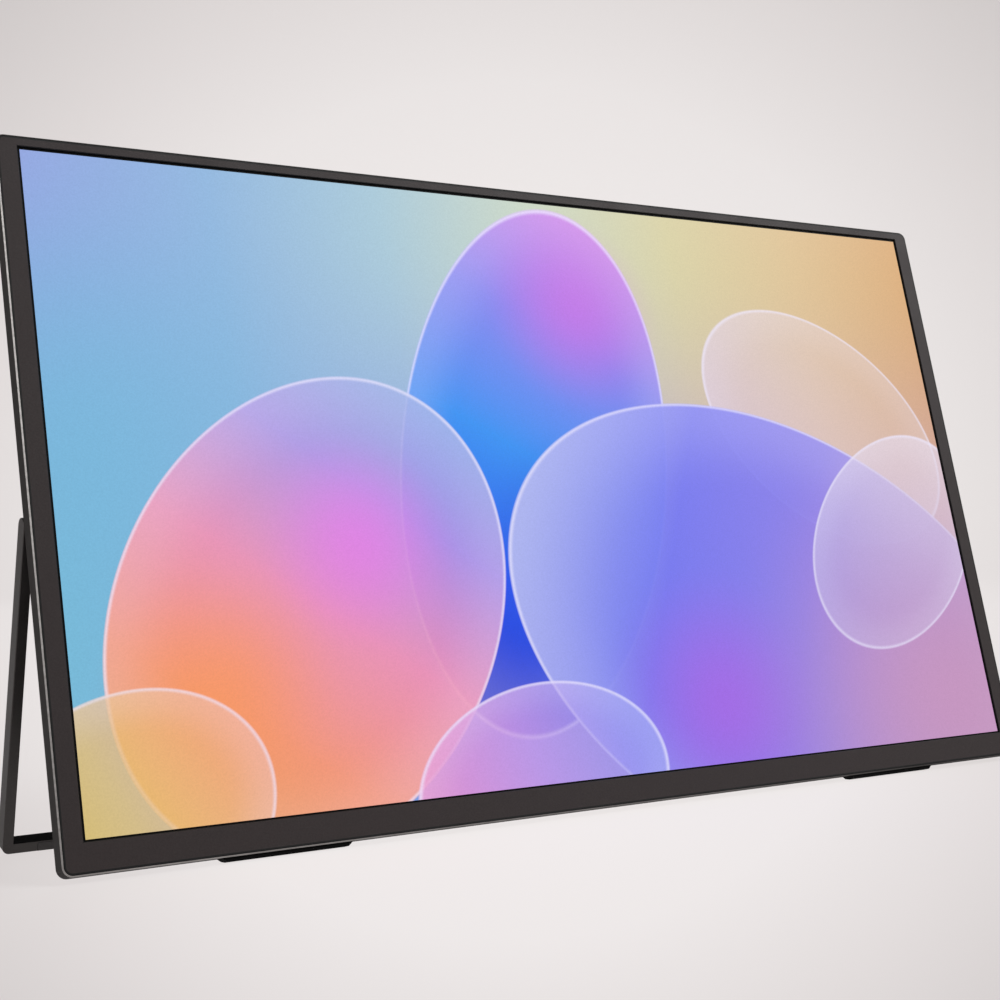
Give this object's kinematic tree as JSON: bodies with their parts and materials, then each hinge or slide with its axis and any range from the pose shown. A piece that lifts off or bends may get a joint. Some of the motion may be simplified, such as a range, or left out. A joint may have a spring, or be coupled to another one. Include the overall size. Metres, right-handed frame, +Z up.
{
  "type": "portable monitor",
  "caption": "Thin widescreen portable monitor that leans back on a folding loop stand with friction hinges, with side keys, sockets, speakers and rubber feet.",
  "frame": {"origin": "on the ground, below the middle of the whole monitor's box with the stand folded out", "axes": "+X to the viewer's right along the screen, +Y from the viewer towards the back, +Z up"},
  "size_m": [0.3576, 0.059, 0.2024],
  "materials": {
    "frame_metal": "dark anodised, with a bright cut edge",
    "bezel_plastic": "matte, very fine grain",
    "screen_glass": "anti-glare polarizer over glass, lit from behind",
    "white_film": "matte film",
    "light_guide_acrylic": "clear acrylic",
    "moulded_white": "moulded",
    "lamp_strip": "flexible strip with lamps",
    "tray_steel": "pressed sheet",
    "board_laminate": "solder mask",
    "ribbon_film": "film",
    "chassis_metal": "stamped sheet",
    "cover_plastic": "fine moulded grain",
    "chip_resin": "moulded resin",
    "switch_resin": "moulded resin",
    "socket_steel": "drawn shell, nickel plated",
    "speaker_plastic": "moulded",
    "gasket_foam": "closed-cell foam",
    "hinge_steel": "oiled",
    "washer_plastic": "natural nylon",
    "screw_steel": "black zinc",
    "foot_rubber": "matte",
    "key_plastic": "fine moulded grain",
    "stand_metal": "dark anodised, fine blasted"
  },
  "bodies": {
    "monitor": {"audio_jack": "switch_resin", "board_chips": "chip_resin", "board_screws": "screw_steel", "button_board": "board_laminate", "button_switches": "switch_resin", "chassis_plate": "chassis_metal", "cover_screws": "screw_steel", "driver_board": "board_laminate", "foot_left": "foot_rubber", "foot_right": "foot_rubber", "friction_clips_left": "hinge_steel", "friction_clips_right": "hinge_steel", "front_bezel": "bezel_plastic", "hdmi_socket": "socket_steel", "hinge_bracket_left": "hinge_steel", "hinge_bracket_right": "hinge_steel", "hinge_screws": "screw_steel", "lcd_glass": "screen_glass", "led_bar": "lamp_strip", "light_guide": "light_guide_acrylic", "main_board": "board_laminate", "optical_sheets": "white_film", "panel_frame": "moulded_white", "panel_ribbon": "ribbon_film", "panel_tray": "tray_steel", "rear_cover": "cover_plastic", "reflector_sheet": "white_film", "side_frame": "frame_metal", "speaker_gaskets": "gasket_foam", "speaker_left": "speaker_plastic", "speaker_right": "speaker_plastic", "usb_c_socket_lower": "socket_steel", "usb_c_socket_upper": "socket_steel"},
    "stand": {"stand_loop": "stand_metal", "stand_grip": "foot_rubber", "hinge_pin_left": "hinge_steel", "hinge_pin_right": "hinge_steel", "pin_rings": "hinge_steel", "pivot_washers": "washer_plastic"},
    "power_key": {"power_button": "key_plastic"},
    "plus_key": {"plus_button": "key_plastic"},
    "minus_key": {"minus_button": "key_plastic"}
  },
  "joints": [
    {"name": "stand_fold", "type": "hinge", "parent": "monitor", "child": "stand", "pos_m": [0, 0.00108, 0.09162], "axis": [1, 0, 0], "range_deg": [-29.4, 60.6]},
    {"name": "power_press", "type": "slide", "parent": "monitor", "child": "power_key", "axis": [1, 0, 0], "range_m": [0, 0.0004], "stiffness_N_per_m": 3000},
    {"name": "plus_press", "type": "slide", "parent": "monitor", "child": "plus_key", "axis": [1, 0, 0], "range_m": [0, 0.0004], "stiffness_N_per_m": 3000},
    {"name": "minus_press", "type": "slide", "parent": "monitor", "child": "minus_key", "axis": [1, 0, 0], "range_m": [0, 0.0004], "stiffness_N_per_m": 3000}
  ]
}
